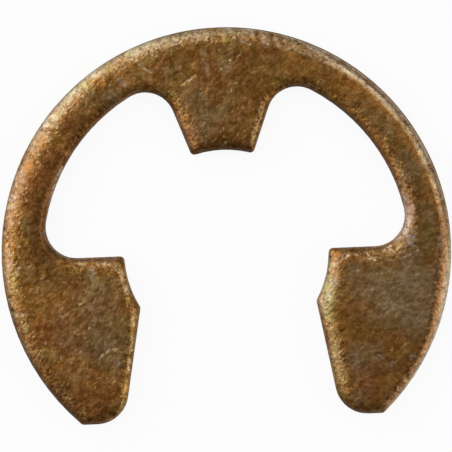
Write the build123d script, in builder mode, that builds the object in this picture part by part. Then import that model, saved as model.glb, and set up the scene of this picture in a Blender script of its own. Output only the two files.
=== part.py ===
from build123d import *
import os
from math import cos, radians, sin, sqrt, tan

# E-clip for a 9.5 mm (3/8 in) shaft: an open retaining ring stamped in one blow from spring steel strip.
# The origin is on the axis of the shaft, in the plane of the lower face, where the blank broke away.
# +Z is the axis of the shaft, +Y runs along the centre prong, and the mouth opens towards -Y.

# Strip
thickness = 0.89

# Ring
outer_diameter = 16.76
ring_width = 1.56  # the springy band beside the two windows

# Seat: the circle at the bottom of the shaft's groove, on which the three prongs bear
seat_diameter = 7.62
grip_angle = 30.6  # the grip points, below the seat's middle, so that the clip snaps over the groove

# Centre prong
prong_tip_width = 2.30
prong_flank_angle = 20.5  # between a flank and the prong's centre line
prong_root_radius = 1.12
prong_corner_radius = 0.17

# Legs
lead_in_angle = 10.2  # between a leg's inner flank and the centre line, opening towards the tip
tip_cut = 2.16  # from the outer circle's lowest point up to the square ends of the legs
shoulder_root_radius = 1.15
shoulder_corner_radius = 0.17
grip_point_radius = 0.08
tip_inner_radius = 1.18
tip_outer_radius = 0.16

# Stamped edge, from the top down: rolled over, sheared square, broken away, and tumbled free of its burr
roll_radius = 0.30
break_height = 0.28
break_setback = 0.035
deburr = 0.02

outer_radius = outer_diameter / 2
window_radius = outer_radius - ring_width
seat_radius = seat_diameter / 2

# Corners of the prongs on the seat circle, as distances from the centre line and heights on it
tip_half_width = prong_tip_width / 2
tip_level = sqrt(seat_radius**2 - tip_half_width**2)
grip_half_width = seat_radius * cos(radians(grip_angle))
grip_level = -seat_radius * sin(radians(grip_angle))
leg_end_level = tip_cut - outer_radius

# Both tapers are drawn on to the outer circle, past anything that they cut
prong_base_half_width = tip_half_width + (outer_radius - tip_level) * tan(radians(prong_flank_angle))
mouth_half_width = grip_half_width + (outer_radius + grip_level) * tan(radians(lead_in_angle))


def off_centre(corner):
    return abs(corner.X)


# The windows inside the ring: the upper half of a circle, with the centre prong left standing between them
with BuildSketch() as windows:
    Circle(window_radius)
    Rectangle(outer_diameter, outer_radius, align=(Align.CENTER, Align.MAX), mode=Mode.SUBTRACT)
    with BuildLine():
        Polyline(
            (-tip_half_width, tip_level),
            (tip_half_width, tip_level),
            (prong_base_half_width, outer_radius),
            (-prong_base_half_width, outer_radius),
            close=True,
        )
    make_face(mode=Mode.SUBTRACT)

# The mouth, flaring from the grip points down to the leg tips, and all that lies below the square leg ends
with BuildSketch() as mouth:
    with BuildLine():
        Polyline(
            (-grip_half_width, grip_level),
            (grip_half_width, grip_level),
            (mouth_half_width, -outer_radius),
            (-mouth_half_width, -outer_radius),
            close=True,
        )
    make_face()
    with Locations((0, leg_end_level)):
        Rectangle(outer_diameter, tip_cut, align=(Align.CENTER, Align.MAX))

with BuildSketch() as outline:
    Circle(outer_radius)
    add(windows.sketch, mode=Mode.SUBTRACT)
    Circle(seat_radius, mode=Mode.SUBTRACT)
    add(mouth.sketch, mode=Mode.SUBTRACT)
    # The sharp corners stand at five heights. From the lowest, they are the leg ends, the grip points,
    # the shoulders, the prong's tip and the prong's roots.
    fillet(outline.vertices().group_by(Axis.Y)[4], prong_root_radius)
    fillet(outline.vertices().group_by(Axis.Y)[3], prong_corner_radius)
    fillet(outline.vertices().group_by(Axis.Y)[2].sort_by(off_centre)[-2:], shoulder_root_radius)
    fillet(outline.vertices().group_by(Axis.Y)[2].sort_by(off_centre)[:2], shoulder_corner_radius)
    fillet(outline.vertices().group_by(Axis.Y)[1], grip_point_radius)
    fillet(outline.vertices().group_by(Axis.Y)[0].sort_by(off_centre)[-2:], tip_outer_radius)
    fillet(outline.vertices().group_by(Axis.Y)[0].sort_by(off_centre)[:2], tip_inner_radius)

with BuildPart() as e_clip:
    extrude(outline.sketch, amount=thickness)
    # The punch draws the upper edge over before it shears
    fillet(e_clip.faces().sort_by(Axis.Z)[-1].edges(), roll_radius)
    # Below the sheared land the metal tears, and the wall leans in towards the lower face
    lower_face = e_clip.faces().sort_by(Axis.Z)[0]
    chamfer(lower_face.edges(), break_setback, break_height, reference=lower_face)
    # Tumbling takes the burr off round the lower face
    chamfer(e_clip.faces().sort_by(Axis.Z)[0].edges(), deburr)

e_clip.part.label = "e_clip"
os.makedirs("parts", exist_ok=True)
export_step(e_clip.part, "parts/e_clip.step")
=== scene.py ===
import random
from math import cos, pi, radians, sin, sqrt

import bmesh
import bpy
from mathutils import Matrix, Vector, noise
from mathutils.bvhtree import BVHTree
from mathutils.kdtree import KDTree


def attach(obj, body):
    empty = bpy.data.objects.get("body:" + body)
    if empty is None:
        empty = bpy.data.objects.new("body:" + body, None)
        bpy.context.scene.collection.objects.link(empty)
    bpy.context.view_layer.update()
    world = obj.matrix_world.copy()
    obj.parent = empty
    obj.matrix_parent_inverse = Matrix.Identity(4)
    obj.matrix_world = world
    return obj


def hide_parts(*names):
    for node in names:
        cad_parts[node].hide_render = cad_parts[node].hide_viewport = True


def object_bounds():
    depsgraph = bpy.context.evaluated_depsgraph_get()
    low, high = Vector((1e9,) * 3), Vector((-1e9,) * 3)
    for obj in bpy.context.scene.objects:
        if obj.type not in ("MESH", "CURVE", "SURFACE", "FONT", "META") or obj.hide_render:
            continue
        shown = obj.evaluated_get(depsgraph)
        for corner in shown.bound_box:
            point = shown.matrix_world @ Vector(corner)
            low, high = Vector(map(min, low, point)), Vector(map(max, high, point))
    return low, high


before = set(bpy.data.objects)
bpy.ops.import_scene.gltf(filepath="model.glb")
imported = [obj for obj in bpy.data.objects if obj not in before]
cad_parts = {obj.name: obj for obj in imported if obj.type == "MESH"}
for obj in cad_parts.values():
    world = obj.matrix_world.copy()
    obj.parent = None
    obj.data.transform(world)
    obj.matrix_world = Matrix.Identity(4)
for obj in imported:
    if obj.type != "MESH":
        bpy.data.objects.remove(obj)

cadLow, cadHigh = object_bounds()  # the clip's true size, which the finished mesh stays inside
perMetre = 1000  # the clip is worked on in millimetres and brought back to metres at the end


def linkToScene(thing):
    bpy.context.scene.collection.objects.link(thing)
    return thing


# The blank: an even skin over the stamped form, with its rolled edge eased into the face

clipBlank = {
    "node": "e_clip",
    "joinWithin": 1e-7,  # metres between corners that are one and the same
    "skinGrid": 0.056,  # mm between neighbouring points
    "plumb": 0.02,  # how far a plumb face's normal may lean
    "landLow": 0.31,  # mm, the sheared land between these two heights is plumb
    "landHigh": 0.58,
    "faceStart": 0.02,  # mm above the land, and all that lies higher is the upper face
    "rollDepth": 0.30,  # mm that the outline is drawn down
    "rollWidth": (0.37, 0.72),  # mm in from the edge, at the tight and the slack side of the die
    "slackSide": 150,  # degrees round from +X to the side where the die was slack
    # places where the roll is wider or narrower: where, how far round them in mm, and by how much
    "slackSpots": (
        ((3.30, -2.00), 1.9, 0.20),
        ((3.70, -3.60), 1.5, 0.12),
        ((8.10, -1.40), 2.6, 0.26),
        ((-3.28, -1.94), 1.0, 0.06),
        ((3.80, -0.24), 0.8, 0.14),
        ((-3.80, -0.24), 0.8, 0.14),
        ((1.15, 3.63), 0.7, 0.06),
        ((-1.15, 3.63), 0.7, 0.06),
        ((-4.70, 6.80), 2.6, -0.15),
        ((7.00, 1.00), 1.3, -0.14),
    ),
    "easePasses": 12,  # more of them soften the roll further into the face
    "easeFactor": 0.5,
}


def stampedForm():
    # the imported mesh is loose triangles, so its corners are joined on a copy
    form = bmesh.new()
    form.from_mesh(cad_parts[clipBlank["node"]].data)
    bmesh.ops.remove_doubles(form, verts=form.verts, dist=clipBlank["joinWithin"])
    bmesh.ops.scale(form, vec=(perMetre,) * 3, verts=form.verts)
    return form


def evenSkin(form):
    pattern = linkToScene(bpy.data.objects.new("pattern", bpy.data.meshes.new("pattern")))
    form.to_mesh(pattern.data)
    blank = linkToScene(bpy.data.objects.new("blank", pattern.data.copy()))
    remesh = blank.modifiers.new("evenGrid", "REMESH")
    remesh.mode = "VOXEL"
    remesh.voxel_size = clipBlank["skinGrid"]
    settle = blank.modifiers.new("settle", "SHRINKWRAP")
    settle.target = pattern
    settle.wrap_method = "NEAREST_SURFACEPOINT"
    finished = blank.evaluated_get(bpy.context.evaluated_depsgraph_get())
    skin = bmesh.new()
    skin.from_mesh(bpy.data.meshes.new_from_object(finished))
    bpy.data.objects.remove(blank)
    bpy.data.objects.remove(pattern)
    return skin


def wallOf(form):
    # the plumb land runs round the whole outline, so its nearest point tells how far in a point lies
    wall = form.copy()
    slanted = [face for face in wall.faces if abs(face.normal.z) > clipBlank["plumb"]]
    bmesh.ops.delete(wall, geom=slanted, context="FACES")
    finder = BVHTree.FromBMesh(wall)
    wall.free()
    return finder


def measureEdge(skin, wall):
    midLand = (clipBlank["landLow"] + clipBlank["landHigh"]) / 2
    inwards = skin.verts.layers.float.new("inwards")
    edgePoint = skin.verts.layers.float_vector.new("edgePoint")
    facing = skin.verts.layers.float_vector.new("facing")
    for vert in skin.verts:
        nearest, outward, _, distance = wall.find_nearest(Vector((vert.co.x, vert.co.y, midLand)))
        vert[inwards] = distance
        vert[edgePoint] = nearest
        vert[facing] = outward


def isUpper(vert):
    return vert.co.z > clipBlank["landHigh"] + clipBlank["faceStart"]


def rollWidthAt(vert, facing):
    slack = radians(clipBlank["slackSide"])
    share = 0.5 + 0.5 * vert[facing].dot(Vector((cos(slack), sin(slack), 0)))
    narrow, wide = clipBlank["rollWidth"]
    width = narrow + (wide - narrow) * share * share
    for spot, reach, wider in clipBlank["slackSpots"]:
        away = (vert.co.xy - Vector(spot)).length / reach
        if away < 1:
            width += wider * (1 - away * away) ** 2
    return width


def rollOver(skin):
    # the die draws the face down in a quarter of an ellipse
    inwards = skin.verts.layers.float["inwards"]
    facing = skin.verts.layers.float_vector["facing"]
    rollShare = skin.verts.layers.float.new("rollShare")
    for vert in skin.verts:
        vert[rollShare] = vert[inwards] / rollWidthAt(vert, facing)
    upper = [vert for vert in skin.verts if isUpper(vert)]
    for vert in upper:
        into = 1 - min(vert[rollShare], 1)
        drop = clipBlank["rollDepth"] * (1 - sqrt(1 - into * into))
        vert.co.z = min(vert.co.z, cadHigh.z * perMetre - drop)
    for _ in range(clipBlank["easePasses"]):
        bmesh.ops.smooth_vert(skin, verts=upper, factor=clipBlank["easeFactor"], use_axis_z=True)


form = stampedForm()
skin = evenSkin(form)
measureEdge(skin, wallOf(form))
form.free()
rollOver(skin)
print(f"blank: {len(skin.verts)} points and {len(skin.faces)} faces over the stamped form")

# Wear: what rolling, stamping and tumbling among other clips left on the surface

wear = {
    "seed": 7,
    "waves": ((0.9, 0.009), (3.2, 0.006), (7.0, 0.004)),  # of the upper face: per mm, and mm deep
    "markStep": 0.02,  # mm from one press to the next along a mark
    "lipReach": 1.6,  # how far out the lip round a mark ends, in shares of half its width
    "lipHeight": 0.3,  # in shares of the mark's depth
    "fleckLength": (0.02, 0.12),
    "fleckStain": 0.75,
    "fleckWidth": 0.11,
    "fleckDepth": 0.010,
    "pits": (260, (0.12, 0.34), (0.003, 0.011)),  # how many, mm wide and mm deep
    "nicks": (700, (0.12, 0.20), (0.002, 0.008)),  # the same, along the rolled edge
    "nickBand": (0.15, 1.1),  # in shares of the rolled edge's width
    "wallReach": 0.09,  # mm in from the edge
    "wallFoot": 0.01,  # mm above the lower face, where the wall starts
    "wallSlant": 0.5,  # what lies flatter than this isn't wall
    "wallStreaks": 7.0,  # per mm round the outline
    "wallStreakDepth": 0.008,
    "tornGrain": 9,  # per mm
    "tornDepth": 0.012,  # mm, below the sheared land
}
faintest = 0.001  # stands in for a stain of nothing where it would be divided by

# the hues that scratches, stains and casts are laid in
tones = {
    "pale": (0.80, 0.64, 0.42),
    "gold": (0.78, 0.50, 0.16),
    "straw": (0.66, 0.50, 0.22),
    "orange": (0.50, 0.20, 0.05),
    "lime": (0.52, 0.50, 0.16),
    "cyan": (0.46, 0.62, 0.55),
    "pink": (0.66, 0.38, 0.28),
    "peach": (0.62, 0.38, 0.20),
    "rose": (0.78, 0.56, 0.44),
    "violetGrey": (0.44, 0.31, 0.26),
    "greyBlue": (0.47, 0.37, 0.24),
    "slate": (0.42, 0.37, 0.36),
    "greyFilm": (0.28, 0.188, 0.092),
    "deepOlive": (0.18, 0.125, 0.036),
    "redRust": (0.262, 0.092, 0.026),
    "gilt": (0.31, 0.142, 0.026),
    "umber": (0.088, 0.033, 0.009),
}

# each mark: tone, how strongly it is stained, width and depth in mm, and its path over the face in mm
marks = (
    # scratches and flecks over the prong
    ("gold", 1.00, 0.15, 0.008, ((-1.38, 6.28), (-0.91, 6.59))),
    ("pale", 1.00, 0.11, 0.004, ((-1.30, 6.33), (-1.02, 6.52))),
    ("gold", 1.00, 0.16, 0.008, ((-1.38, 6.28),)),
    ("orange", 0.80, 0.10, 0.008, ((-0.43, 6.18), (-0.55, 5.93))),
    ("pale", 0.80, 0.11, 0.012, ((0.83, 7.85), (1.18, 7.67))),
    ("greyBlue", 0.40, 0.34, 0.004, ((-0.56, 7.49), (-0.48, 6.74))),
    ("orange", 0.70, 0.14, 0.008, ((-1.72, 5.71), (-1.59, 5.22), (-1.46, 4.69))),
    # the left leg's face
    ("peach", 0.70, 0.11, 0.012, ((-6.40, -2.09), (-6.22, -2.14))),
    ("peach", 0.80, 0.12, 0.014, ((-6.14, -2.10), (-5.95, -2.04))),
    ("peach", 0.70, 0.12, 0.010, ((-6.28, -1.88), (-6.17, -1.81))),
    ("peach", 0.80, 0.12, 0.010, ((-5.57, -1.72), (-5.45, -1.68))),
    ("straw", 0.70, 0.11, 0.010, ((-5.25, -1.24), (-5.21, -1.21))),
    ("pale", 0.90, 0.13, 0.012, ((-4.89, -3.76), (-4.75, -3.62), (-4.52, -3.48))),
    ("gold", 0.80, 0.13, 0.012, ((-4.35, -3.46), (-4.29, -3.36), (-4.22, -3.43), (-4.29, -3.48))),
    # its outer edge, where the broad pale line is a painted highlight
    ("lime", 0.30, 0.40, 0, ((-7.66, -2.20), (-7.50, -2.70))),
    ("pale", 0.30, 0.55, 0, ((-8.16, 0.25), (-8.10, -0.50), (-8.02, -0.95))),
    ("lime", 0.45, 0.34, 0, ((-8.02, -0.55), (-7.92, -1.02))),
    # and its inner one
    ("violetGrey", 0.50, 0.24, 0.006, ((-4.26, -3.88), (-4.16, -3.98))),
    ("pale", 0.80, 0.20, 0.012, ((-4.18, -0.32), (-3.92, -0.66))),
    ("greyBlue", 0.75, 0.36, 0.008, ((-5.05, -0.52), (-4.98, -0.72))),
    ("pink", 0.50, 0.20, 0.006, ((-5.03, -0.38),)),
    ("pale", 0.60, 0.12, 0.010, ((-4.84, -0.28), (-4.57, -0.26), (-4.28, -0.30))),
    ("gold", 0.50, 0.14, 0.008, ((-5.54, -0.21), (-5.25, -0.24))),
    ("pale", 0.65, 0.17, 0.008, ((-3.96, -0.66), (-3.82, -1.00), (-3.69, -1.38))),
    ("pale", 0.60, 0.14, 0.006, ((-3.83, -1.38), (-3.86, -1.11))),
    ("gold", 0.50, 0.14, 0.006, ((-3.77, -1.75), (-3.73, -1.57))),
    ("pale", 0.60, 0.14, 0.006, ((-3.56, -2.10), (-3.55, -2.58))),
    ("straw", 0.60, 0.16, 0.006, ((-3.60, -2.99), (-3.66, -3.51))),
    ("pale", 0.60, 0.14, 0.006, ((-3.75, -3.81), (-3.84, -4.33))),
    ("gold", 0.50, 0.16, 0.006, ((-3.89, -4.62), (-3.99, -5.18))),
    ("straw", 0.50, 0.14, 0.006, ((-4.03, -5.36), (-4.16, -5.73))),
    # the right leg's inner edge
    ("lime", 0.50, 0.60, 0, ((3.86, -0.62), (3.68, -1.12), (3.70, -1.64), (3.72, -2.16), (3.77, -2.69))),
    ("straw", 0.40, 0.40, 0, ((3.77, -2.75), (3.89, -3.60), (4.03, -4.40), (4.19, -4.90))),
    ("lime", 0.25, 0.34, 0, ((3.80, -2.70), (3.90, -3.40))),
    ("cyan", 0.60, 0.16, 0.008, ((3.73, -1.72), (3.72, -1.98))),
    ("pink", 0.60, 0.30, 0, ((3.90, -0.90),)),
    ("pale", 0.50, 0.20, 0.006, ((3.84, -0.80), (4.00, -0.52), (4.45, -0.36))),
    ("orange", 0.80, 0.40, 0, ((4.09, -0.24),)),
    # its face and the corner over it
    ("violetGrey", 0.80, 0.15, 0.006, ((5.22, -1.43), (5.36, -1.58))),
    ("slate", 0.60, 0.40, 0, ((6.82, 0.08), (6.88, 0.26))),
    ("rose", 0.70, 0.20, 0, ((6.57, 2.05), (6.74, 1.49), (6.79, 0.92), (6.70, 0.48))),
    ("pale", 0.70, 0.10, 0.010, ((5.96, -0.24), (6.11, -0.17), (6.26, -0.25))),
    ("straw", 0.70, 0.10, 0.010, ((5.24, -0.47), (5.43, -0.44), (5.61, -0.52))),
    ("violetGrey", 0.60, 0.16, 0.004, ((4.72, -0.76), (4.80, -0.86))),
    ("straw", 0.60, 0.12, 0.008, ((5.79, -2.58), (6.14, -2.19))),
    ("violetGrey", 0.60, 0.11, 0.006, ((4.46, -3.99), (4.69, -3.96), (4.83, -4.11))),
    ("greyBlue", 0.70, 0.10, 0.006, ((4.53, -4.21), (4.75, -4.26))),
    ("greyBlue", 0.70, 0.13, 0.008, ((5.32, -4.10), (5.51, -4.03), (5.65, -4.15))),
    ("violetGrey", 0.60, 0.12, 0.006, ((5.43, -4.21), (5.57, -4.26))),
    ("greyBlue", 0.60, 0.11, 0.008, ((5.72, -4.41), (5.95, -4.31), (6.17, -4.28))),
    ("violetGrey", 0.50, 0.12, 0.006, ((5.79, -4.49), (6.09, -4.43))),
    ("greyBlue", 0.90, 0.15, 0.008, ((6.66, -4.19), (6.82, -4.04))),
    ("greyBlue", 0.60, 0.12, 0.006, ((6.73, -4.23), (6.89, -4.12))),
    ("peach", 0.60, 0.12, 0.008, ((5.96, -3.90), (6.08, -3.75))),
    ("peach", 0.60, 0.12, 0.008, ((6.34, -3.84), (6.53, -3.66))),
    # the rolled edge at the upper left
    ("lime", 0.75, 0.44, 0, ((-4.06, 7.07),)),
    ("lime", 0.75, 0.44, 0, ((-3.40, 7.50),)),
    ("lime", 0.75, 0.44, 0, ((-2.49, 7.80),)),
    ("lime", 0.50, 0.44, 0, ((-4.98, 6.40),)),
    ("lime", 0.50, 0.44, 0, ((-6.11, 5.32),)),
    ("lime", 0.75, 0.44, 0, ((-1.14, 8.11),)),
    ("orange", 0.45, 0.60, 0, ((-5.30, 5.89),)),
    ("orange", 0.65, 0.60, 0, ((-6.70, 4.42),)),
    ("orange", 0.65, 0.60, 0, ((-7.19, 3.43),)),
    ("orange", 0.65, 0.60, 0, ((-4.45, 6.46),)),
    # the face there, with its long scratch
    ("pale", 0.75, 0.11, 0.008, ((-3.26, 7.38), (-3.04, 7.18), (-2.75, 6.91), (-2.54, 6.79))),
    ("cyan", 0.50, 0.18, 0.006, ((-2.50, 6.86),)),
    ("peach", 0.70, 0.13, 0.008, ((-3.53, 7.02), (-3.46, 7.05))),
    ("peach", 0.80, 0.14, 0.010, ((-2.04, 6.92), (-2.00, 6.99))),
    ("peach", 0.60, 0.12, 0.008, ((-2.98, 6.77),)),
    ("peach", 0.70, 0.13, 0.008, ((-2.34, 6.15),)),
    ("peach", 0.70, 0.13, 0.008, ((-2.12, 6.03),)),
    ("violetGrey", 0.50, 0.30, 0.004, ((-3.74, 6.54), (-3.56, 6.34))),
    ("violetGrey", 0.50, 0.22, 0.004, ((-3.72, 6.09),)),
    # the top edge
    ("cyan", 0.25, 0.34, 0, ((-0.39, 8.16), (-0.20, 8.11))),
    ("straw", 0.50, 0.30, 0, ((-0.69, 8.06), (-0.55, 7.94))),
    ("rose", 0.40, 0.44, 0, ((1.73, 7.92), (1.80, 7.70))),
    ("violetGrey", 0.70, 0.12, 0.010, ((0.87, 7.81), (1.05, 7.73), (1.20, 7.68))),
    ("gold", 0.60, 0.10, 0.008, ((0.28, 8.06), (0.31, 7.80))),
    # more at the upper left, where the broad pale line is a painted highlight
    ("rose", 0.35, 0.36, 0, ((-4.04, 7.34), (-3.74, 7.47))),
    ("rose", 0.35, 0.36, 0, ((-3.25, 7.68), (-3.06, 7.74))),
    ("pale", 0.20, 0.60, 0, ((-4.06, 7.05), (-3.30, 7.45), (-2.50, 7.75))),
    ("orange", 0.40, 0.60, 0, ((-6.21, 5.44),)),
    # the right leg's upper edge
    ("pale", 0.70, 0.13, 0.008, ((4.12, -0.54), (4.31, -0.32), (4.54, -0.29))),
    ("straw", 0.60, 0.12, 0.008, ((4.76, -0.26), (4.98, -0.42))),
    ("pale", 0.70, 0.12, 0.010, ((5.18, -0.21), (5.35, -0.44), (5.50, -0.52))),
    ("pale", 0.70, 0.12, 0.010, ((5.81, -0.19), (5.97, -0.09), (6.12, -0.02))),
    ("straw", 0.60, 0.12, 0.008, ((6.26, -0.25), (6.45, 0.00))),
    ("violetGrey", 0.60, 0.14, 0.006, ((6.51, -0.48), (6.85, -0.35))),
    ("pale", 0.60, 0.12, 0.008, ((7.01, -0.02), (7.12, -0.25))),
    # and the left leg's
    ("straw", 0.70, 0.14, 0.010, ((-5.62, -0.18), (-5.32, -0.27))),
    # the right arm, in and out
    ("orange", 0.50, 0.46, 0,
     ((4.65, 5.19), (5.19, 4.76), (5.62, 4.26), (5.97, 3.65), (6.24, 3.11), (6.44, 2.51))),
    ("orange", 0.60, 0.34, 0, ((4.86, 6.14), (5.37, 5.70), (5.81, 5.23), (6.21, 4.79), (6.53, 4.32))),
    ("orange", 0.65, 0.34, 0,
     ((6.53, 4.32), (6.82, 3.86), (7.10, 3.35), (7.32, 2.86), (7.51, 2.32), (7.68, 1.60))),
    # fainter stains along the edges, with pale lines of painted highlight and umber lines of painted shade
    ("pink", 0.35, 0.44, 0.004, ((6.88, 1.45), (7.00, 1.20))),
    ("umber", 0.35, 0.40, 0, ((7.05, 1.05), (7.08, 0.70), (6.90, 0.50))),
    ("umber", 0.40, 0.42, 0, ((2.06, 7.70), (2.99, 7.39), (3.86, 6.97))),
    ("umber", 0.25, 0.22, 0, ((8.14, -1.14), (8.22, 0.00), (8.10, 1.43))),
    ("orange", 0.45, 0.30, 0, ((7.66, 2.55), (7.87, 1.80), (8.02, 0.98), (8.07, 0.40))),
    ("redRust", 0.35, 0.44, 0, ((-7.88, -2.26), (-7.60, -3.07), (-7.24, -3.85), (-6.95, -4.35))),
    ("pale", 0.40, 0.30, 0, ((7.65, 3.09), (7.28, 3.87), (6.84, 4.61))),
    ("pale", 0.35, 0.32, 0, ((4.28, 6.85), (4.97, 6.37))),
    ("pale", 0.35, 0.55, 0, ((-0.53, 8.13), (-1.37, 8.03), (-2.20, 7.85))),
    ("rose", 0.50, 0.28, 0, ((6.60, 0.50), (6.42, 0.34), (6.01, 0.11), (5.60, -0.04))),
    ("violetGrey", 0.35, 0.30, 0,
     ((-6.73, 1.02), (-6.56, 0.56), (-6.20, 0.18), (-5.72, -0.04), (-5.00, -0.06), (-4.10, -0.05))),
    ("pink", 0.25, 0.28, 0, ((-1.66, 5.30), (-1.46, 4.69), (-1.26, 4.05))),
    ("straw", 0.35, 0.24, 0, ((1.56, 5.47), (1.34, 4.80), (1.12, 3.99))),
    # painted highlights along the left ring's inner edge and the upper right outer edge
    ("pale", 0.60, 0.14, 0,
     ((-5.98, 3.42), (-6.17, 3.03), (-6.33, 2.64), (-6.46, 2.21), (-6.57, 1.75), (-6.64, 1.38))),
    ("pale", 0.85, 0.13, 0, ((2.99, 7.72), (4.16, 7.01), (5.17, 6.22), (5.97, 5.55), (6.90, 4.58))),
)

# the passivation's colour drifts over the face, and along some edges umber is painted shade: for each tone
# its patches, each with how strong it is, how far it reaches in mm, and its middle
casts = {
    "greyFilm": (
        (0.90, 2.00, (5.85, -1.65)), (1.00, 1.40, (7.20, -1.75)), (0.65, 1.00, (6.85, -2.80)),
        (0.40, 0.60, (4.58, -1.04)), (0.68, 1.00, (4.75, -4.15)), (0.45, 0.60, (4.78, -5.53)),
        (0.60, 0.90, (6.80, -0.30)), (0.50, 1.30, (-4.77, -1.41)), (0.55, 1.30, (-4.55, -3.30)),
        (0.25, 1.60, (-5.50, -2.80)), (0.35, 1.00, (-0.45, 5.40)), (0.90, 0.60, (-4.03, 5.88)),
        (0.60, 1.10, (6.98, 2.86)), (0.40, 0.60, (7.44, 1.27)), (0.70, 0.80, (-0.71, 4.70)),
        (0.60, 0.70, (-1.12, 5.72)), (0.50, 0.70, (-5.22, 5.89)), (0.50, 1.00, (5.90, 4.70)),
    ),
    "deepOlive": (
        (0.40, 1.30, (7.20, 3.20)), (0.80, 1.00, (7.50, 0.30)), (0.20, 1.10, (-6.40, -0.60)),
        (0.60, 0.90, (-1.70, 6.60)),
    ),
    "redRust": (
        (0.70, 0.80, (4.75, -2.35)), (0.40, 0.80, (-7.15, -2.75)), (0.60, 0.70, (-5.80, -1.15)),
        (1.00, 2.20, (-7.10, 3.00)), (0.60, 1.00, (-6.00, 5.20)), (0.60, 1.20, (-6.60, -2.60)),
        (0.60, 0.80, (-1.40, 4.30)), (0.70, 1.30, (-4.90, -5.20)), (0.60, 1.20, (5.20, -5.20)),
        (0.50, 0.90, (-2.30, 6.60)), (0.45, 0.50, (7.09, -1.85)), (0.40, 0.70, (-8.00, -2.20)),
        (0.40, 0.70, (-7.70, -3.10)), (0.40, 0.70, (-7.20, -4.00)), (0.40, 0.70, (-6.60, -4.90)),
    ),
    # umber darkens patches of the face, and along the left ring's inner edge, the left leg's lower outer edge
    # and the edge under the left shoulder it is painted shade
    "umber": (
        (0.55, 0.90, (-6.45, -0.45)), (0.30, 0.60, (-5.75, -0.81)), (0.34, 1.00, (4.82, -2.66)),
        (0.30, 0.60, (5.07, -3.71)), (0.40, 1.00, (1.43, 5.92)), (0.28, 0.70, (0.47, 6.26)),
        (0.55, 0.60, (-4.95, 5.17)), (0.45, 0.60, (-6.77, 2.63)), (0.30, 0.60, (-4.79, -5.63)),
        (1.20, 0.90, (-6.85, 0.40)), (1.20, 0.90, (-6.75, 1.20)), (1.20, 0.90, (-6.50, 2.10)),
        (1.10, 0.90, (-6.00, 3.10)), (0.90, 0.80, (-5.25, 4.20)), (0.50, 0.80, (-4.20, 5.20)),
        (0.35, 0.80, (-4.19, 5.98)), (0.45, 0.80, (-5.42, 4.88)), (0.35, 0.80, (-6.32, 3.65)),
        (0.20, 0.80, (-6.94, 2.26)), (0.40, 0.50, (-5.50, -0.20)), (0.45, 0.50, (-4.95, -0.20)),
        (0.45, 0.50, (-4.40, -0.20)), (0.80, 0.80, (-8.00, -2.20)), (0.80, 0.80, (-7.70, -3.10)),
        (0.85, 0.80, (-7.20, -4.00)), (0.80, 0.80, (-6.60, -4.90)), (0.60, 0.80, (-5.90, -5.70)),
        (0.35, 0.50, (-1.66, 5.45)), (0.35, 0.50, (-1.49, 4.92)), (0.35, 0.50, (-1.29, 4.31)),
        (0.35, 0.70, (1.40, 4.10)), (0.35, 0.70, (1.75, 5.00)), (0.48, 1.00, (-4.90, -6.10)),
        (0.65, 1.15, (-0.10, 3.75)), (0.42, 0.90, (4.90, -6.00)),
    ),
    "gilt": (
        (0.60, 1.10, (4.70, 5.90)), (0.60, 1.10, (5.90, 4.80)), (0.60, 1.00, (3.30, 6.80)),
        (0.60, 0.60, (3.36, 5.73)), (0.60, 0.60, (4.64, 4.93)), (0.60, 0.60, (5.59, 3.59)),
        (0.60, 0.60, (6.13, 2.26)), (0.70, 1.30, (4.40, -2.70)), (0.30, 1.20, (1.00, 6.00)),
        (0.45, 0.60, (5.12, -2.15)), (0.60, 0.70, (6.27, -3.76)), (0.50, 1.20, (-5.60, 0.30)),
    ),
}

# bright flecks: for each tone their places
flecks = {
    "orange": (
        (7.40, 0.30), (7.48, 1.75), (5.83, 3.85), (6.33, 2.88),
    ),
    "gold": (
        (-2.01, 6.92), (-1.48, 6.93), (-0.57, 7.38), (0.58, 6.25), (-1.62, 5.83),
        (-5.38, -1.61), (-6.06, -0.88), (4.84, 5.30), (5.47, 4.41), (6.02, 3.98), (6.58, 3.06),
        (6.67, 2.61), (6.08, 3.68), (4.57, 6.17),
    ),
    "pale": (
        (-0.21, 6.99), (0.39, 7.08), (0.34, 6.86), (0.08, 6.80), (0.73, 7.26), (0.42, 5.96),
        (-6.21, -1.84), (7.40, 3.03), (7.85, 2.11), (6.16, 4.68), (6.89, 1.48),
    ),
    "straw": (
        (-5.53, -1.72), (-3.53, -2.25), (-3.55, -2.62), (4.74, -5.38), (-6.21, 5.41),
        (-6.88, 3.71),
    ),
}


def layCasts(skin):
    layer = skin.verts.layers.float_color["casts"]
    patches = [(Vector(tones[tone]), *patch) for tone, spots in casts.items() for patch in spots]
    for vert in skin.verts:
        mixed = Vector((0, 0, 0))
        total = 0
        for tone, strength, reach, middle in patches:
            away = (vert.co.xy - Vector(middle)).length / reach
            if away < 1:
                share = strength * (1 - away * away) ** 2
                mixed += share * tone
                total += share
        vert[layer] = (*(mixed / max(total, faintest)), min(total, 1))


def roughenWall(skin):
    # the land is scored by the die, and the torn zone under it is ragged
    inwards = skin.verts.layers.float["inwards"]
    edgePoint = skin.verts.layers.float_vector["edgePoint"]
    for vert in skin.verts:
        if isUpper(vert) or vert[inwards] > wear["wallReach"] or vert.co.z < wear["wallFoot"]:
            continue
        outward = Vector((vert.normal.x, vert.normal.y, 0))
        if outward.length < wear["wallSlant"]:
            continue
        outward.normalize()
        spot = vert[edgePoint]
        score = 0.5 + 0.5 * noise.noise(Vector((spot.x, spot.y, 0)) * wear["wallStreaks"])
        cut = wear["wallStreakDepth"] * score
        if vert.co.z < clipBlank["landLow"]:
            cut += wear["tornDepth"] * (0.5 + 0.5 * noise.noise(vert.co * wear["tornGrain"]))
        vert.co -= outward * cut


def weather(upper):
    for vert in upper:
        vert.co.z -= sum(depth * (1 + noise.noise(vert.co * perMm)) for perMm, depth in wear["waves"])


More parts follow.
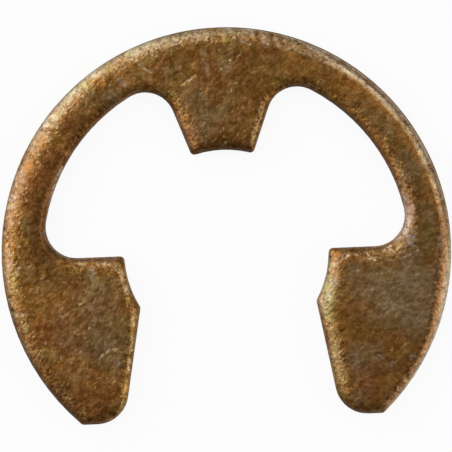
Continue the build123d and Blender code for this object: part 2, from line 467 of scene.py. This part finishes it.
def pressMark(upper, tree, stains, tone, stain, width, depth, path):
    path = [Vector((x, y, 0)) for x, y in path]
    reach = width / 2
    halfLip = (wear["lipReach"] - 1) / 2
    found = {}
    for start, end in zip(path, path[1:] or path):
        steps = max(1, round((end - start).length / wear["markStep"]))
        for step in range(steps + 1):
            press = start.lerp(end, step / steps)
            for _, index, distance in tree.find_range(press, reach * wear["lipReach"]):
                found[index] = min(distance, found.get(index, distance))
    for index, distance in found.items():
        vert = upper[index]
        share = distance / reach
        if share < 1:
            fall = (1 - share * share) ** 2
            vert.co.z -= depth * fall
            old = vert[stains]
            alpha = stain * fall ** 0.5
            mixed = Vector(old[:3]).lerp(Vector(tones[tone]), alpha / max(alpha, old[3], faintest))
            vert[stains] = (*mixed, max(alpha, old[3]))
        else:
            vert.co.z += wear["lipHeight"] * depth * (1 - abs(share - 1 - halfLip) / halfLip)


def wearFace(skin, upper):
    stains = skin.verts.layers.float_color["marks"]
    for vert in skin.verts:
        vert[stains] = (0, 0, 0, 0)
    tree = KDTree(len(upper))
    for index, vert in enumerate(upper):
        tree.insert((vert.co.x, vert.co.y, 0), index)
    tree.balance()
    for mark in marks:
        pressMark(upper, tree, stains, *mark)
    draw = random.Random(wear["seed"])
    fleck = (wear["fleckStain"], wear["fleckWidth"], wear["fleckDepth"])
    for tone, spots in flecks.items():
        for spot in spots:
            lean = draw.uniform(0, pi)
            long = draw.uniform(*wear["fleckLength"])
            end = (spot[0] + long * cos(lean), spot[1] + long * sin(lean))
            pressMark(upper, tree, stains, tone, *fleck, (spot, end))
    rollShare = skin.verts.layers.float["rollShare"]
    inner, outer = wear["nickBand"]
    rim = [vert for vert in upper if inner < vert[rollShare] < outer]
    for places, (count, widths, depths) in ((upper, wear["pits"]), (rim, wear["nicks"])):
        for _ in range(count):
            spot = draw.choice(places).co
            width = draw.uniform(*widths)
            depth = draw.uniform(*depths)
            pressMark(upper, tree, stains, "gold", 0, width, depth, ((spot.x, spot.y),))  # 0, no stain


skin.verts.layers.float_color.new("marks")
skin.verts.layers.float_color.new("casts")
layCasts(skin)
skin.normal_update()
upper = [vert for vert in skin.verts if isUpper(vert)]
roughenWall(skin)
weather(upper)
wearFace(skin, upper)
print("wear: face dented and scratched, walls scored and torn")

# The body itself


def makeBody(skin):
    for vert in skin.verts:
        vert.co.z = min(max(vert.co.z, 0), cadHigh.z * perMetre)
    bmesh.ops.scale(skin, vec=(1 / perMetre,) * 3, verts=skin.verts)
    for face in skin.faces:
        face.smooth = True
    mesh = bpy.data.meshes.new("clipBody")
    skin.to_mesh(mesh)
    skin.free()
    return linkToScene(bpy.data.objects.new("clipBody", mesh))


body = makeBody(skin)
print(f"clipBody: {len(body.data.polygons)} faces")

# Yellow passivated zinc on spring steel, dulled and stained

plating = {
    "brown": (0.207, 0.086, 0.023, 1),
    "golden": (0.310, 0.137, 0.030, 1),
    "olive": (0.256, 0.148, 0.043, 1),
    "film": (0.266, 0.162, 0.075, 1),
    "rust": (0.250, 0.084, 0.021, 1),
    "moss": (0.205, 0.130, 0.026, 1),
    "drift": -0.012,  # per mm, how much less golden and speckled it gets from left to right
    # the grain's troughs and crests, in which the film lies thick and thin
    "toneDark": (0.835, 0.76, 0.58, 1),
    "tonePale": (1.185, 1.265, 1.44, 1),
    "gritDark": (0.87, 0.82, 0.68, 1),
    "gritPale": (1.13, 1.20, 1.36, 1),
    "streakDark": (0.78, 0.71, 0.58, 1),
    "streakPale": (1.22, 1.30, 1.42, 1),
    "streakShare": 0.65,  # how much the streaks replace of the tone
    # the worn edge's hue round the outline, in shares of a turn from -X by way of -Y; the palest hues, at the
    # upper left and at the right, are painted highlights where the edge faces the lamps
    "edgeHuesAndHighlights": (
        (0.00, (0.54, 0.33, 0.20, 1)),
        (0.06, (0.50, 0.36, 0.17, 1)),
        (0.14, (0.44, 0.26, 0.11, 1)),
        (0.38, (0.39, 0.22, 0.11, 1)),
        (0.43, (0.49, 0.34, 0.20, 1)),
        (0.48, (0.54, 0.39, 0.30, 1)),
        (0.55, (0.40, 0.27, 0.14, 1)),
        (0.63, (0.50, 0.40, 0.28, 1)),
        (0.75, (0.54, 0.40, 0.21, 1)),
        (0.83, (0.67, 0.56, 0.34, 1)),
        (0.91, (0.58, 0.44, 0.26, 1)),
        (1.00, (0.54, 0.33, 0.20, 1)),
    ),
    "hueScatter": 0.21,  # shares of a turn that the hues are scattered by
    "thinFilm": (1.00, 1.06, 1.18, 1),  # its tint at the wall and at the face
    "thickFilm": (1.00, 0.88, 0.76, 1),
    "prongHue": (0.48, 0.25, 0.15, 1),  # and on sheltered edges
    "fray": 1.2,  # how ragged the worn edge's border is
    "wornSide": 126,  # degrees round from +X to the side worn most, which faces the upper-left lamps, so its pale edge is also a painted highlight
    # the crest's pale colour is a painted highlight
    "crestHighlight": (0.80, 0.60, 0.36, 1),
    "crestSide": 33,  # in degrees too, as the sides below are; this side faces the upper-right lamp
    # the film's bands on the crest's side, with a painted dark band and a painted highlight across the roll,
    # in shares of the rolled edge's width, and they stop where it ends
    "filmAndLightBands": (
        (0.00, (0.56, 0.40, 0.28, 0.8)),
        (0.32, (0.43, 0.29, 0.20, 0.8)),
        (0.52, (0.20, 0.12, 0.08, 0.7)),
        (0.66, (0.54, 0.50, 0.36, 0.7)),
        (0.83, (0.58, 0.48, 0.28, 0.6)),
        (0.95, (0.68, 0.30, 0.05, 1.0)),
        (1.00, (0.56, 0.22, 0.04, 0.9)),
        (1.00, (0.34, 0.14, 0.03, 0.0)),
    ),
    "bandFray": 0.35,
    "armSide": -28,  # outside and inside of the right arm; the outside faces the lower right lamp
    "armInside": -150,
    "armLitBands": (
        (0.00, (0.74, 0.61, 0.46, 1.0)),
        (0.29, (0.49, 0.34, 0.20, 1.0)),
        (0.52, (0.42, 0.19, 0.07, 1.0)),
        (0.77, (0.20, 0.09, 0.035, 0.9)),
        (1.00, (0.13, 0.06, 0.025, 0.6)),
        (1.00, (0.12, 0.06, 0.03, 0.0)),
    ),
    "armFray": 0.25,
    "armPepper": 0.7,  # how much of the pinholes shows on them
    "cellDark": (0.62, 0.54, 0.43, 1),  # the pinholes that pepper the rolled edge, and the skin between them
    "cellPale": (1.12, 1.16, 1.21, 1),
    # the specks' hues, for chipped film and for painted glints
    "goldSpeck": (0.60, 0.38, 0.13, 1),
    "paleSpeck": (0.64, 0.47, 0.27, 1),
    # the wall's colour, dark of itself and darker as painted shade; the next one is its painted shade on the
    # side away from the lamps
    "wall": (0.100, 0.052, 0.022, 1),
    "shadedWall": (0.052, 0.022, 0.008, 1),
    "shadeSide": -120,  # where the painted shade on the wall is darkest, on edges that face down and to the left
    "shadeStart": 0.01,  # mm in from the edge, where the painted shade starts to thin
    "shadeWidth": (0.085, 0.15),  # and where it ends, on the other sides and on that one
    "litSides": ((-28, 0.20), (150, 0.5)),  # sides that face the lamps, where less painted shade is laid, and how much of it is left
    "litTurn": (0.6, 0.95),  # how far towards those sides the painted shade lessens
    "oilRoughness": 0.6,
    "oilGloss": 0.15,  # the oil shines less than most
    "wornRoughness": 0.10,  # more than on the flat
    "coatRoughness": 0.28,
    "relief": 0.000021,  # metres, the depth of the grain
    "mottleRelief": 0.9,  # how deep the mottle is beside the grit

    # grains: scale per mm, detail, roughness, distortion, offset, and for those drawn out
    # the direction in degrees round from +X and how far
    "grains": {
        "patches": (0.55, 3, 0.55, 0.4),
        "olive": (0.9, 2, 0.5, 0.3, (31, 7, 3)),
        "film": (1.3, 4, 0.6, 0.2, (13, 2, 17)),
        "rust": (2.4, 2, 0.6, 0.3, (2, 23, 5)),
        "moss": (2.0, 2, 0.6, 0.3, (17, 5, 29)),
        "mottle": (3.4, 2.2, 0.68, 0.0, (5, 11, 2), 50, 1.1),
        "grit": (8.5, 1.5, 0.55, 0.0, (3, 19, 8), 50, 1.1),
        "streaks": (7.0, 2, 0.6, 0.0, (23, 4, 11), 20, 1.8),
        "ragged": (5, 3, 0.6, 0.0, (7, 7, 1)),
        "flecked": (4.2, 2, 0.6, 0.3, (17, 5, 3)),
        "lasting": (0.8, 2, 0.5, 0.0, (6, 6, 0)),
        "hueScatter": (3.6, 3, 0.7, 0.0, (9, 4, 0)),
        "scored": (6, 2, 0.6),
        "cells": (6.5, 2, 0.6, 0.0, (6, 1, 9)),
        "rubbed": (0.7, 2, 0.6, 0.0, (1, 8, 0)),
        "rubGrain": (5, 3, 0.7, 0.0, (4, 4, 2)),
        "broken": (1.6, 3, 0.6, 0.0, (5, 9, 0)),
        "specks": (9, 1, 0.5, 0.0, (41, 3, 9), 50, 1.4),
        "strewn": (0.8, 2, 0.5, 0.0, (2, 14, 6)),
        "points": (10, 1, 0.5, 0.0, (11, 21, 1), 50, 1.5),
        "speckHue": (3, 1, 0.5, 0.0, (8, 2, 4)),
        "spotty": (7.5, 2, 0.6, 0.0, (12, 6, 25), 50, 1.2),
    },

    # spans: the readings between which something sets in, and how much of it there is at either end,
    # 0 and 1 where nothing else is given
    "spans": {
        "golden": (0.38, 0.62),
        "olive": (0.48, 0.70, 0, 0.8),
        "film": (0.52, 0.72, 0, 0.7),
        "filmOnFace": (0.8, 2.0, 0.75, 1),
        "rust": (0.50, 0.66, 0, 0.42),
        "moss": (0.52, 0.68, 0, 0.42),
        "castBreaks": (0.36, 0.56, 0.64, 0.96),
        "tone": (0.30, 0.70),
        "grit": (0.30, 0.70),
        "streaks": (0.32, 0.68),
        "legAcross": (3.0, 4.4),  # mm from the middle
        "legAlong": (0.5, 2.0, 1, 0),
        "worn": (0.20, 0.88, 1, 0),  # in shares of the rolled edge's width
        "wornTurn": (-0.15, 0.75, 0.12, 1),  # how far towards the worn side that faces the upper-left lamps
        "flecked": (0.36, 0.60, 0.18, 1),
        "fleckedTurn": (0.55, 0.95, 0, 0.55),
        "lasting": (0.35, 0.60, 0.30, 1),
        "outside": (7.0, 7.8),  # mm from the middle
        "sills": (0.3, 0.9, 1, 0.10),
        "prong": (1.0, 3.0, 1, 0),  # mm up from the middle
        "armInside": (0.60, 0.95, 0, 0.7),
        "armInsideAcross": (2.0, 3.0),
        "sheltered": (0, 1, 0.18, 1),
        "scored": (0.3, 0.7, 0.93, 1.06),
        "thinned": (0.25, 0.95),
        "cells": (0.34, 0.56),
        "pepperEdge": (0.7, 1.2, 1, 0),
        "pepperCasts": (0.7, 1, 1, 0.35),
        "crestFrom": (0.60, 0.90),
        "crestTo": (0.92, 1.20, 1, 0),
        "crestTurn": (0.5, 0.95),
        "rubbed": (0.40, 0.60, 0.1, 0.7),
        "rubGrain": (0.35, 0.65),
        "bandTurn": (0.78, 0.95),
        "bandRagged": (0.38, 0.54, 0.45, 1),
        "broken": (0.38, 0.56, 0.30, 1),
        "armTurn": (0.79, 0.92),
        "armAcross": (4.6, 6.2, 0, 0.9),
        "armRagged": (0.36, 0.52, 0.60, 1),
        "specks": (0.63, 0.71),
        "strewn": (0.40, 0.60, 0.05, 0.50),
        "speckCasts": (0.3, 1, 1, 0.3),
        "points": (0.60, 0.68),
        "pointEdge": (0.9, 1.3, 0.8, 0),
        "pointTurn": (-0.2, 0.6, 0.35, 1),
        "speckHue": (0.42, 0.58),
        "scratches": (0.72, 0.95, 0, 0.75),
        "spotty": (0.42, 0.56, 0.12, 1),
        # where the wall's painted shade lies: towards its side, on edges that face down, and inside the
        # windows less on edges that face up
        "oilTurn": (0.3, 0.95),
        "oilLow": (-0.9, -0.3, 1, 0),
        "oilInside": (-0.8, -0.1, 1, 0.45),
        "roughness": (0.3, 0.7, 0.30, 0.42),
        "filmRoughness": (0.5, 0.75, 0, 0.10),
        "relief": (0.8, 1.3, 1, 0.75),  # less on the flat, where the strip was rolled
        "metal": (0, 1, 1, 0.35),  # clean, and on the dull wall that also carries the painted shade
        "coat": (0, 1, 0.03, 0.12),  # of clear film, on the flat and on the worn edge
    },
}


class NodeBench:
    def __init__(self, tree):
        self.nodes = tree.nodes
        self.links = tree.links

    def add(self, kind, inputs=(), **settings):
        node = self.nodes.new("ShaderNode" + kind)
        for name, value in settings.items():
            setattr(node, name, value)
        for socket, value in dict(inputs).items():
            self.feed(node.inputs[socket], value)
        return node

    def feed(self, socket, value):
        if isinstance(value, bpy.types.NodeSocket):
            self.links.new(value, socket)
        else:
            socket.default_value = value

    def read(self, name):
        return self.add("Attribute", attribute_name=name).outputs

    def split(self, vector):
        return self.add("SeparateXYZ", {0: vector}).outputs

    def grain(self, vector, name):
        return self.noise(vector, *plating["grains"][name])

    def noise(self, vector, scale, detail, roughness, distortion=0.0, offset=(0, 0, 0), lean=0, long=1):
        turned = {
            "Vector": vector,
            "Location": offset,
            "Rotation": (0, 0, radians(lean)),
            "Scale": (long, 1, 1),
        }
        inputs = {
            "Vector": self.add("Mapping", turned, vector_type="TEXTURE").outputs[0],
            "Scale": scale,
            "Detail": detail,
            "Roughness": roughness,
            "Distortion": distortion,
        }
        return self.add("TexNoise", inputs).outputs["Fac"]

    def span(self, value, name):
        return self.spread(value, *plating["spans"][name])

    def spread(self, value, low, high, toLow=0.0, toHigh=1.0):
        inputs = {"Value": value, "From Min": low, "From Max": high, "To Min": toLow, "To Max": toHigh}
        return self.add("MapRange", inputs, interpolation_type="SMOOTHSTEP").outputs[0]

    def maths(self, operation, first, second):
        return self.add("Math", {0: first, 1: second}, operation=operation).outputs[0]

    def times(self, first, *others):
        for other in others:
            first = self.maths("MULTIPLY", first, other)
        return first

    def plus(self, first, second):
        return self.maths("ADD", first, second)

    def larger(self, first, second):
        return self.maths("MAXIMUM", first, second)

    def towards(self, vector, degrees):
        # how far a direction points to one side, given in degrees round from +X
        side = (cos(radians(degrees)), sin(radians(degrees)), 0)
        return self.add("VectorMath", {0: vector, 1: side}, operation="DOT_PRODUCT").outputs["Value"]

    def mix(self, factor, first, second, blend="MIX"):
        inputs = {"Factor": factor, 6: first, 7: second}  # a mix node's own two colour sockets
        return self.add("Mix", inputs, data_type="RGBA", blend_type=blend).outputs[2]

    def tint(self, colour, tinted):
        return self.mix(1.0, colour, tinted, "MULTIPLY")

    def ramp(self, value, stops):
        node = self.add("ValToRGB", {"Fac": value})
        elements = node.color_ramp.elements
        while len(elements) < len(stops):
            elements.new(0.5)
        for element, (position, colour) in zip(elements, stops):
            element.position = position
            element.color = colour
        return node.outputs


def readSkin(bench):
    # what the mesh tells at each point, and the grains that several layers share
    place = bench.add("TexCoord").outputs["Object"]
    place = bench.add("VectorMath", {0: place, 1: (perMetre,) * 3}, operation="MULTIPLY").outputs[0]
    edge = bench.read("edgePoint")["Vector"]
    facing = bench.read("facing")["Vector"]
    rolled = bench.read("rollShare")["Fac"]
    radius = bench.add("VectorMath", {0: edge}, operation="LENGTH").outputs["Value"]
    outside = bench.span(radius, "outside")
    ragged = bench.grain(place, "ragged")
    cells = bench.span(bench.grain(place, "cells"), "cells")
    return {
        "place": place,
        "across": bench.split(place)["X"],
        "along": bench.split(place)["Y"],
        "inward": bench.read("inwards")["Fac"],  # mm in from the edge
        "rolled": rolled,  # the same in shares of the roll's width
        "edge": edge,
        "facing": facing,
        "upward": bench.split(facing)["Y"],
        "outside": outside,
        "wornSide": bench.towards(facing, plating["wornSide"]),
        "crestSide": bench.times(bench.towards(facing, plating["crestSide"]), outside),
        "casts": bench.read("casts"),
        "marks": bench.read("marks"),
        "mottle": bench.grain(place, "mottle"),
        "grit": bench.grain(place, "grit"),
        "film": bench.times(bench.grain(place, "film"), bench.span(rolled, "filmOnFace")),
        "ragged": ragged,
        "frayed": bench.times(bench.maths("SUBTRACT", ragged, 0.5), plating["fray"]),
        "cells": bench.mix(cells, plating["cellDark"], plating["cellPale"]),
    }


def layFilm(bench, at):
    place = at["place"]
    patches = bench.plus(bench.grain(place, "patches"), bench.times(at["across"], plating["drift"]))
    colour = bench.mix(bench.span(patches, "golden"), plating["brown"], plating["golden"])
    for name in ("olive", "film", "rust", "moss"):
        laid = at["film"] if name == "film" else bench.grain(place, name)
        colour = bench.mix(bench.span(laid, name), colour, plating[name])
    laid = bench.times(at["casts"]["Alpha"], bench.span(at["film"], "castBreaks"))
    colour = bench.mix(laid, colour, at["casts"]["Color"])
    tone = bench.mix(bench.span(at["mottle"], "tone"), plating["toneDark"], plating["tonePale"])
    # on the right leg the grain is drawn out into fine streaks
    streaked = bench.times(bench.span(at["across"], "legAcross"), bench.span(at["along"], "legAlong"))
    streaks = bench.span(bench.grain(place, "streaks"), "streaks")
    streaks = bench.mix(streaks, plating["streakDark"], plating["streakPale"])
    tone = bench.mix(bench.times(streaked, plating["streakShare"]), tone, streaks)
    grit = bench.mix(bench.span(at["grit"], "grit"), plating["gritDark"], plating["gritPale"])
    return bench.tint(bench.tint(colour, tone), grit)


def hueAndHighlightEdge(bench, at):
    # the worn edge's hue, partly painted highlight, changes round the outline, and from the wall to the face
    # as the film thickens
    sides = bench.split(at["edge"])
    turn = bench.maths("DIVIDE", bench.maths("ARCTAN2", sides["Y"], sides["X"]), 2 * pi)
    scatter = bench.maths("SUBTRACT", bench.grain(at["place"], "hueScatter"), 0.5)
    turn = bench.plus(bench.plus(turn, 0.5), bench.times(scatter, plating["hueScatter"]))
    hues = bench.ramp(turn, plating["edgeHuesAndHighlights"])["Color"]
    hues = bench.tint(hues, bench.span(bench.grain(at["edge"], "scored"), "scored"))
    thinned = bench.mix(bench.span(at["rolled"], "thinned"), plating["thinFilm"], plating["thickFilm"])
    return bench.tint(hues, thinned)


def wearAndHighlightEdge(bench, at, colour):
    # over the rolled edge the film is worn thin, in flecks, and its pale hue is also a painted highlight,
    # strongest on the side that faces the upper-left lamps
    worn = bench.span(bench.plus(at["rolled"], at["frayed"]), "worn")
    flecked = bench.span(bench.grain(at["place"], "flecked"), "flecked")
    flecked = bench.larger(flecked, bench.span(at["wornSide"], "fleckedTurn"))
    lasting = bench.span(bench.grain(at["edge"], "lasting"), "lasting")
    lasting = bench.times(lasting, bench.span(at["wornSide"], "wornTurn"))
    # edges that face up inside the windows are sheltered
    lasting = bench.times(lasting, bench.larger(at["outside"], bench.span(at["upward"], "sills")))
    # and so are the prong's, but not the inside of the right arm
    exposed = bench.larger(at["outside"], bench.span(bench.split(at["edge"])["Y"], "prong"))
    inside = bench.span(bench.towards(at["facing"], plating["armInside"]), "armInside")
    inside = bench.times(inside, bench.span(at["across"], "armInsideAcross"))
    exposed = bench.larger(exposed, inside)
    lasting = bench.times(lasting, bench.span(exposed, "sheltered"))
    hues = bench.mix(exposed, plating["prongHue"], hueAndHighlightEdge(bench, at))
    share = bench.times(worn, flecked, lasting)
    return bench.mix(share, colour, hues), share


def pepperEdge(bench, at, colour):
    under = bench.span(at["casts"]["Alpha"], "pepperCasts")
    peppered = bench.times(bench.span(at["rolled"], "pepperEdge"), under)
    return bench.mix(peppered, colour, bench.tint(colour, at["cells"]))


def rubAndHighlightCrest(bench, at, colour):
    # the crest where the roll meets the face rubs on its neighbours, and on the side that faces the
    # upper-right lamp it is painted pale as a highlight
    crestHighlight = bench.times(bench.span(at["rolled"], "crestFrom"), bench.span(at["rolled"], "crestTo"))
    rubbed = bench.span(bench.grain(at["edge"], "rubbed"), "rubbed")
    rubbed = bench.times(rubbed, bench.span(bench.grain(at["place"], "rubGrain"), "rubGrain"))
    rubbed = bench.times(rubbed, bench.span(at["crestSide"], "crestTurn"))
    return bench.mix(bench.times(crestHighlight, rubbed), colour, plating["crestHighlight"])


def bandFilmAndLight(bench, at, colour):
    # on the same side the film is banded, from violet at the wall to orange at the face, with a painted dark
    # band and a painted highlight between
    reading = bench.plus(at["rolled"], bench.times(at["frayed"], plating["bandFray"]))
    bands = bench.ramp(reading, plating["filmAndLightBands"])
    banded = bench.times(bench.span(at["crestSide"], "bandTurn"), bench.span(at["ragged"], "bandRagged"))
    banded = bench.times(banded, bench.span(bench.grain(at["edge"], "broken"), "broken"))
    return bench.mix(bench.times(banded, bands["Alpha"]), colour, bands["Color"])


def bandArmWithLight(bench, at, colour):
    # the outside of the right arm is rubbed bare at the wall and painted pale there as the lower right lamp's
    # highlight, then orange, then painted dark as shade
    reading = bench.plus(at["rolled"], bench.times(at["frayed"], plating["armFray"]))
    bands = bench.ramp(reading, plating["armLitBands"])
    banded = bench.span(bench.towards(at["facing"], plating["armSide"]), "armTurn")
    banded = bench.times(banded, bench.span(at["across"], "armAcross"), bench.span(at["ragged"], "armRagged"))
    peppered = bench.mix(plating["armPepper"], bands["Color"], at["cells"], "MULTIPLY")
    return bench.mix(bench.times(banded, bands["Alpha"]), colour, peppered)


def strewSpecksAndGlints(bench, at, colour):
    # bright points, partly chipped film and partly painted glints, drawn out along the grain and fewer to the
    # right
    place = at["place"]
    strewn = bench.plus(bench.grain(place, "strewn"), bench.times(at["across"], plating["drift"]))
    specks = bench.times(bench.span(bench.grain(place, "specks"), "specks"), bench.span(strewn, "strewn"))
    specks = bench.times(specks, bench.span(at["casts"]["Alpha"], "speckCasts"))
    # and closer together on the outer rolled edge as painted glints, most where it faces the upper-left lamps
    points = bench.span(bench.grain(place, "points"), "points")
    points = bench.times(points, bench.span(at["rolled"], "pointEdge"), at["outside"])
    points = bench.times(points, bench.span(at["wornSide"], "pointTurn"))
    hue = bench.span(bench.grain(place, "speckHue"), "speckHue")
    hue = bench.mix(hue, plating["goldSpeck"], plating["paleSpeck"])
    return bench.mix(bench.larger(specks, points), colour, hue)


def layMarks(bench, at, colour):
    # faint stains are broken up by the grain, and scratches aren't
    stain = at["marks"]["Alpha"]
    spotty = bench.span(bench.grain(at["place"], "spotty"), "spotty")
    whole = bench.larger(bench.span(stain, "scratches"), spotty)
    return bench.mix(bench.times(stain, whole), colour, at["marks"]["Color"])


def dullAndShadeWall(bench, at, colour):
    # the sheared wall is dull and dark of itself, and painted darker still as shade, most of all on the sides
    # that face the mouth and its left, away from the lamps
    deep = bench.span(bench.towards(at["facing"], plating["shadeSide"]), "oilTurn")
    low = bench.larger(deep, bench.span(at["upward"], "oilLow"))
    width = bench.spread(low, 0, 1, *plating["shadeWidth"])
    dullShaded = bench.spread(at["inward"], plating["shadeStart"], width, 1, 0)
    kept = bench.larger(at["outside"], bench.span(at["upward"], "oilInside"))
    for side, most in plating["litSides"]:
        turned = bench.towards(at["facing"], side)
        kept = bench.times(kept, bench.spread(turned, *plating["litTurn"], 1, most))
    wall = bench.mix(deep, plating["wall"], plating["shadedWall"])
    return bench.mix(bench.times(dullShaded, kept), colour, wall), dullShaded


def makePlating():
    material = bpy.data.materials.new("yellowPlating")
    material.use_nodes = True
    bench = NodeBench(material.node_tree)
    at = readSkin(bench)
    colour, share = wearAndHighlightEdge(bench, at, layFilm(bench, at))
    for layer in (pepperEdge, rubAndHighlightCrest, bandFilmAndLight, bandArmWithLight, strewSpecksAndGlints, layMarks):
        colour = layer(bench, at, colour)
    colour, dullShaded = dullAndShadeWall(bench, at, colour)
    roughness = bench.plus(bench.span(at["mottle"], "roughness"), bench.span(at["film"], "filmRoughness"))
    roughness = bench.plus(roughness, bench.times(share, plating["wornRoughness"]))
    roughness = bench.larger(roughness, bench.times(dullShaded, plating["oilRoughness"]))
    bump = {
        "Height": bench.plus(at["grit"], bench.times(at["mottle"], plating["mottleRelief"])),
        "Strength": bench.span(at["rolled"], "relief"),
        "Distance": plating["relief"],
    }
    finish = {
        "Base Color": colour,
        "Roughness": roughness,
        "Normal": bench.add("Bump", bump).outputs["Normal"],
        "Metallic": bench.span(dullShaded, "metal"),
        "Coat Weight": bench.span(share, "coat"),
        "Coat Roughness": plating["coatRoughness"],
        "Specular IOR Level": plating["oilGloss"],
    }
    for socket, value in finish.items():
        bench.feed(material.node_tree.nodes["Principled BSDF"].inputs[socket], value)
    return material


body.data.materials.append(makePlating())
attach(body, "root")
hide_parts(clipBlank["node"])
print("plating: yellow passivation laid on")

# Stage: pale floor, soft lamps and a copy stand

stage = {
    "floorSize": 0.6,
    "floorDrop": 0.00001,  # metres under the clip, so that their faces don't lie in one plane
    "floorColour": (0.9, 0.9, 0.9, 1),
    "whiteShare": 0.92,  # how much of the floor's look is plain white, the rest keeps the shadow
    "roomDark": 0.16,  # brightness of the room on the darker side
    "roomLight": 0.42,  # and on the brighter one
    "roomSide": 134,  # degrees round from +X to the brighter side
    "roomTurn": (-0.85, 0.55),  # how far towards that side the one gives way to the other
    # softboxes: degrees round from +X, degrees up from the floor, metres wide and high, and brightness
    "softboxes": {
        "windowLeft": (142, 44, 0.28, 0.28, 1.38),
        "sideLeft": (186, 44, 0.12, 0.16, 0.9),
        "topRight": (32, 58, 0.16, 0.05, 2.4),
        "lowRight": (-12, 33, 0.20, 0.16, 1.5),
    },
    "softboxDistance": 0.25,
}


def makeFloor():
    plane = bmesh.new()
    bmesh.ops.create_grid(plane, x_segments=1, y_segments=1, size=stage["floorSize"] / 2)
    mesh = bpy.data.meshes.new("floor")
    plane.to_mesh(mesh)
    plane.free()
    mesh.materials.append(makePaleFloor())
    floor = linkToScene(bpy.data.objects.new("floor", mesh))
    floor.location.z = -stage["floorDrop"]


def makePaleFloor():
    material = bpy.data.materials.new("paleFloor")
    material.use_nodes = True
    bench = NodeBench(material.node_tree)
    shader = material.node_tree.nodes["Principled BSDF"]
    shader.inputs["Base Color"].default_value = stage["floorColour"]
    shader.inputs["Roughness"].default_value = 1
    shader.inputs["Specular IOR Level"].default_value = 0
    # seen straight, in a reflection or through glass, the floor is white with a faint shadow left in it
    ray = bench.add("LightPath").outputs
    seen = bench.larger(ray["Is Camera Ray"], ray["Is Glossy Ray"])
    seen = bench.larger(seen, ray["Is Transmission Ray"])
    share = bench.times(seen, stage["whiteShare"])
    white = bench.add("Emission")
    blend = bench.add("MixShader", {0: share, 1: shader.outputs["BSDF"], 2: white.outputs["Emission"]})
    bench.links.new(blend.outputs["Shader"], material.node_tree.nodes["Material Output"].inputs["Surface"])
    return material


def makeLamps():
    for name, (around, up, width, height, brightness) in stage["softboxes"].items():
        data = bpy.data.lights.new(name, "AREA")
        data.shape = "RECTANGLE"
        data.size = width
        data.size_y = height
        data.energy = brightness * pi * width * height
        lamp = linkToScene(bpy.data.objects.new(name, data))
        flat = cos(radians(up))
        towards = Vector((flat * cos(radians(around)), flat * sin(radians(around)), sin(radians(up))))
        lamp.location = towards * stage["softboxDistance"]
        lamp.rotation_euler = towards.to_track_quat("Z", "Y").to_euler()
        lamp.visible_camera = False


def makeRoom():
    world = bpy.data.worlds.new("room")
    bpy.context.scene.world = world
    world.use_nodes = True
    bench = NodeBench(world.node_tree)
    sided = bench.towards(bench.add("TexCoord").outputs["Generated"], stage["roomSide"])
    level = bench.spread(sided, *stage["roomTurn"], stage["roomDark"], stage["roomLight"])
    background = world.node_tree.nodes["Background"]
    background.inputs["Color"].default_value = (1, 1, 1, 1)
    bench.links.new(level, background.inputs["Strength"])


copyStand = {
    "lens": 200,
    "sensor": 36,
    "clip": (0.001, 10),  # metres, the nearest and the farthest it sees
    "pictureWidth": 16.86,  # mm across the clip
    "middle": (-0.015, 0.97),  # mm, in the picture's own directions
    "turn": 2.3,  # degrees that the clip lies turned to the left
}


def makeCamera():
    data = bpy.data.cameras.new("copyStand")
    data.lens = copyStand["lens"]
    data.sensor_width = copyStand["sensor"]
    data.clip_start, data.clip_end = copyStand["clip"]
    stand = linkToScene(bpy.data.objects.new("copyStand", data))
    distance = copyStand["pictureWidth"] / perMetre * copyStand["lens"] / copyStand["sensor"]
    turn = Matrix.Rotation(-radians(copyStand["turn"]), 4, "Z")
    middle = turn @ Vector((*copyStand["middle"], 0)) / perMetre
    stand.matrix_world = Matrix.Translation(middle + Vector((0, 0, distance + cadHigh.z / 2))) @ turn
    bpy.context.scene.camera = stand


makeFloor()
makeLamps()
makeRoom()
makeCamera()
bpy.context.scene.view_settings.view_transform = "Standard"
print("stage: floor, lamps, room and camera set")
